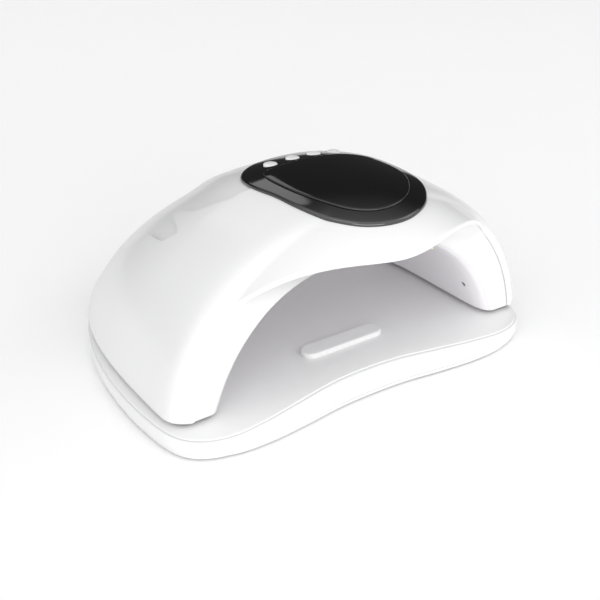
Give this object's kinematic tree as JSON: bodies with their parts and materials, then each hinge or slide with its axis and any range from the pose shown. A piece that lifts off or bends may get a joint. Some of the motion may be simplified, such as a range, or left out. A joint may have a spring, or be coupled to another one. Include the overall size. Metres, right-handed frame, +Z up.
{
  "type": "uv led nail lamp",
  "caption": "White arched nail-curing lamp hood with a black oval display panel and push buttons, standing loose on a flat tray with a raised finger bar.",
  "frame": {"origin": "centre of the whole lamp's box, at its lowest plane, where it stands on the table", "axes": "+Z up, -Y towards the hand opening, +X to the right seen from the front"},
  "size_m": [0.2192, 0.2036, 0.1025],
  "materials": {
    "shell_white": "semi-gloss moulded white",
    "liner_white": "satin reflective white",
    "tray_white": "semi-gloss moulded white",
    "panel_black": "piano black",
    "window_smoke": "polished smoked",
    "button_white": "semi-gloss",
    "switch_black": "matte",
    "board_green": "solder mask",
    "display_black": "matte",
    "screw_steel": "zinc plated",
    "magnet_nickel": "nickel plated",
    "pad_rubber": "matte",
    "strip_aluminium": "satin",
    "led_lens": "clear resin",
    "sensor_dark": "dark resin",
    "lead_red": "satin",
    "foot_rubber": "matte"
  },
  "bodies": {
    "tray": {"tray_top": "tray_white", "tray_bottom": "tray_white", "tray_magnets": "magnet_nickel", "tray_screws": "screw_steel", "tray_feet": "foot_rubber"},
    "hood": {"outer_shell": "shell_white", "inner_liner": "liner_white", "bottom_frame": "liner_white", "frame_screws": "screw_steel", "hood_magnets": "magnet_nickel", "hood_pads": "pad_rubber", "rear_plate": "shell_white", "display_panel": "panel_black", "display_window": "window_smoke", "tact_switches": "switch_black", "control_board": "board_green", "digit_display": "display_black", "board_screws": "screw_steel", "board_posts": "liner_white", "led_strip_front": "strip_aluminium", "led_strip_middle": "strip_aluminium", "led_strip_rear": "strip_aluminium", "leds_front": "led_lens", "leds_middle": "led_lens", "leds_rear": "led_lens", "sensor_emitter": "sensor_dark", "sensor_receiver": "sensor_dark", "dc_jack": "switch_black", "power_leads": "lead_red"},
    "button_1": {"button_1": "button_white"},
    "button_2": {"button_2": "button_white"},
    "button_3": {"button_3": "button_white"},
    "button_4": {"button_4": "button_white"}
  },
  "joints": [
    {"name": "hood_lift", "type": "slide", "parent": "tray", "child": "hood", "axis": [0, 0, 1], "range_m": [0, 0.12]},
    {"name": "button_1_press", "type": "slide", "parent": "hood", "child": "button_1", "axis": [0, 0, -1], "range_m": [0, 0.0008], "stiffness_N_per_m": 900},
    {"name": "button_2_press", "type": "slide", "parent": "hood", "child": "button_2", "axis": [0, 0, -1], "range_m": [0, 0.0008], "stiffness_N_per_m": 900},
    {"name": "button_3_press", "type": "slide", "parent": "hood", "child": "button_3", "axis": [0, 0, -1], "range_m": [0, 0.0008], "stiffness_N_per_m": 900},
    {"name": "button_4_press", "type": "slide", "parent": "hood", "child": "button_4", "axis": [0, 0, -1], "range_m": [0, 0.0008], "stiffness_N_per_m": 900}
  ]
}
